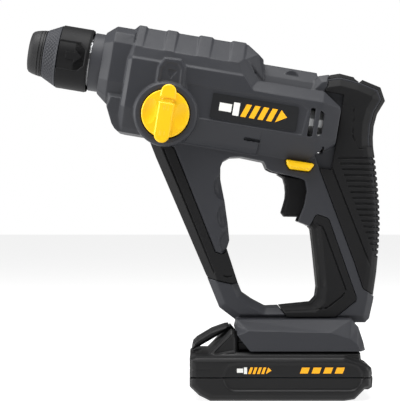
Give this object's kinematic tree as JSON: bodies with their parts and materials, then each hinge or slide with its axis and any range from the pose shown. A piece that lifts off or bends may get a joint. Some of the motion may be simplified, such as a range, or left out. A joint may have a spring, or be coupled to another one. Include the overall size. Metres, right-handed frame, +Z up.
{
  "type": "rotary hammer",
  "caption": "Cordless rotary hammer with a D-shaped handle, side mode knob, bit chuck with pull-back sleeve and a slide-on battery pack.",
  "frame": {"origin": "centre of the box that holds the whole tool, at its base, on the battery's resting face", "axes": "+Z up, -X out of the nose, +X towards the rear grip, -Y the side with the mode knob; the barrel leans 9.5 degrees nose-up"},
  "size_m": [0.2352, 0.076, 0.2433],
  "materials": {
    "housing_plastic": "moulded glass-filled nylon, fine spark texture, satin",
    "soft_grip": "moulded soft thermoplastic rubber, matt",
    "black_plastic": "moulded black nylon, satin",
    "battery_plastic": "moulded black ABS, satin",
    "yellow_plastic": "moulded yellow nylon, semi-gloss",
    "seal_rubber": "moulded nitrile rubber, matt",
    "badge_film": "printed polycarbonate film, satin",
    "gear_steel": "turned and hobbed steel, oiled",
    "bright_steel": "ground hardened steel",
    "spring_steel": "drawn wire and zinc-plated steel",
    "cast_aluminium": "die-cast, as cast",
    "copper_winding": "enamelled copper wire and turned copper",
    "cell_wrap": "heat-shrunk sleeve over a steel can"
  },
  "bodies": {
    "housing": {"housing_left": "housing_plastic", "housing_right": "housing_plastic", "rear_grip_left": "soft_grip", "rear_grip_right": "soft_grip", "front_grip_left": "soft_grip", "front_grip_right": "soft_grip", "strut_pad_left": "soft_grip", "strut_pad_right": "soft_grip", "badge_left": "badge_film", "badge_right": "badge_film", "neck_collar": "housing_plastic", "oil_seal": "seal_rubber", "spindle_front_bearing": "bright_steel", "spindle_rear_bearing": "bright_steel", "gear_carrier": "cast_aluminium", "motor_can": "gear_steel", "brush_plate": "black_plastic", "motor_front_bearing": "bright_steel", "motor_rear_bearing": "bright_steel", "switch_body": "black_plastic", "trigger_spring": "spring_steel", "terminal_block": "black_plastic", "housing_screw_1": "spring_steel", "housing_screw_2": "spring_steel", "housing_screw_3": "spring_steel", "housing_screw_4": "spring_steel"},
    "spindle": {"spindle": "gear_steel", "dust_cap": "seal_rubber", "chuck_ring": "housing_plastic", "locking_ball": "bright_steel", "sleeve_spring": "spring_steel", "spindle_gear": "gear_steel"},
    "locking_sleeve": {"locking_sleeve": "black_plastic"},
    "impact_bolt": {"impact_bolt": "bright_steel"},
    "striker": {"striker": "bright_steel"},
    "piston": {"piston": "cast_aluminium"},
    "wobble": {"wobble_ring": "gear_steel", "swivel_pin": "bright_steel"},
    "intermediate_shaft": {"intermediate_shaft": "gear_steel", "intermediate_gear": "gear_steel", "wobble_hub": "gear_steel"},
    "clutch": {"clutch_sleeve": "gear_steel"},
    "shift_fork": {"shift_fork": "gear_steel"},
    "motor_rotor": {"armature": "copper_winding", "commutator": "copper_winding", "cooling_fan": "black_plastic", "motor_pinion": "gear_steel"},
    "mode_knob": {"mode_knob": "yellow_plastic"},
    "knob_lock_button": {"knob_lock_button": "yellow_plastic"},
    "trigger": {"trigger": "black_plastic"},
    "direction_lever": {"direction_lever": "yellow_plastic"},
    "reversing_arm": {"reversing_arm": "black_plastic"},
    "battery": {"battery_case_lower": "battery_plastic", "battery_case_upper": "battery_plastic", "battery_cell_1": "cell_wrap", "battery_cell_2": "cell_wrap", "battery_cell_3": "cell_wrap", "battery_cell_4": "cell_wrap", "battery_cell_5": "cell_wrap"},
    "release_button": {"release_button": "battery_plastic"}
  },
  "joints": [
    {"name": "motor_spin", "type": "hinge", "parent": "housing", "child": "motor_rotor", "pos_m": [0.03008, 0, 0.18744], "axis": [0.9863, 0, -0.165], "continuous": true},
    {"name": "intermediate_spin", "type": "hinge", "parent": "housing", "child": "intermediate_shaft", "pos_m": [-0.02129, 0, 0.18336], "axis": [0.9863, 0, -0.165], "continuous": true},
    {"name": "spindle_spin", "type": "hinge", "parent": "housing", "child": "spindle", "pos_m": [-0.1155, 0, 0.2263], "axis": [0.9863, 0, -0.165], "continuous": true},
    {"name": "wobble_rock", "type": "hinge", "parent": "housing", "child": "wobble", "pos_m": [-0.00354, 0, 0.18039], "axis": [0, 1, 0], "range_deg": [-15, 15]},
    {"name": "piston_stroke", "type": "slide", "parent": "housing", "child": "piston", "axis": [0.9863, 0, -0.165], "range_m": [-0.007, 0.007]},
    {"name": "striker_flight", "type": "slide", "parent": "spindle", "child": "striker", "axis": [0.9863, 0, -0.165], "range_m": [-0.0065, 0]},
    {"name": "impact_bolt_travel", "type": "slide", "parent": "spindle", "child": "impact_bolt", "axis": [0.9863, 0, -0.165], "range_m": [-0.002, 0]},
    {"name": "sleeve_pull", "type": "slide", "parent": "spindle", "child": "locking_sleeve", "axis": [0.9863, 0, -0.165], "range_m": [0, 0.005], "stiffness_N_per_m": 1000, "springref_m": -0.003, "deforming": ["sleeve_spring"]},
    {"name": "mode_knob_turn", "type": "hinge", "parent": "housing", "child": "mode_knob", "pos_m": [-0.02559, 0, 0.18317], "axis": [0, 1, 0], "range_deg": [-60, 60]},
    {"name": "shift_fork_slide", "type": "slide", "parent": "housing", "child": "shift_fork", "axis": [0.9863, 0, -0.165], "range_m": [-0.00294, 0.00294]},
    {"name": "clutch_slide", "type": "slide", "parent": "intermediate_shaft", "child": "clutch", "axis": [0.9863, 0, -0.165], "range_m": [-0.0031, 0.0031]},
    {"name": "lock_button_press", "type": "slide", "parent": "mode_knob", "child": "knob_lock_button", "axis": [0, 1, 0], "range_m": [0, 0.0014], "stiffness_N_per_m": 600, "springref_m": -0.001},
    {"name": "trigger_pull", "type": "slide", "parent": "housing", "child": "trigger", "axis": [0.9863, 0, -0.165], "range_m": [0, 0.007], "stiffness_N_per_m": 600, "springref_m": -0.004, "deforming": ["trigger_spring"]},
    {"name": "direction_lever_shift", "type": "slide", "parent": "housing", "child": "direction_lever", "axis": [0, 1, 0], "range_m": [-0.004, 0.004]},
    {"name": "reversing_arm_swing", "type": "hinge", "parent": "housing", "child": "reversing_arm", "pos_m": [0.088, 0, 0.1509], "axis": [0, 0, 1], "range_deg": [-14, 14]},
    {"name": "battery_slide", "type": "slide", "parent": "housing", "child": "battery", "axis": [-1, 0, 0], "range_m": [0, 0.09]},
    {"name": "release_button_press", "type": "slide", "parent": "battery", "child": "release_button", "axis": [0.506, 0, -0.8625], "range_m": [0, 0.0028], "stiffness_N_per_m": 1200, "springref_m": -0.002}
  ],
  "couplings": [
    {"joint": "intermediate_spin", "follows": "motor_spin", "ratio": -0.38889},
    {"joint": "spindle_spin", "follows": "motor_spin", "ratio": 0.11218},
    {"joint": "wobble_rock", "follows": "piston_stroke", "rad_per_m": 37.3},
    {"joint": "mode_knob_turn", "follows": "shift_fork_slide", "rad_per_m": 349},
    {"joint": "clutch_slide", "follows": "shift_fork_slide", "ratio": 1},
    {"joint": "reversing_arm_swing", "follows": "direction_lever_shift", "rad_per_m": -57.5}
  ]
}
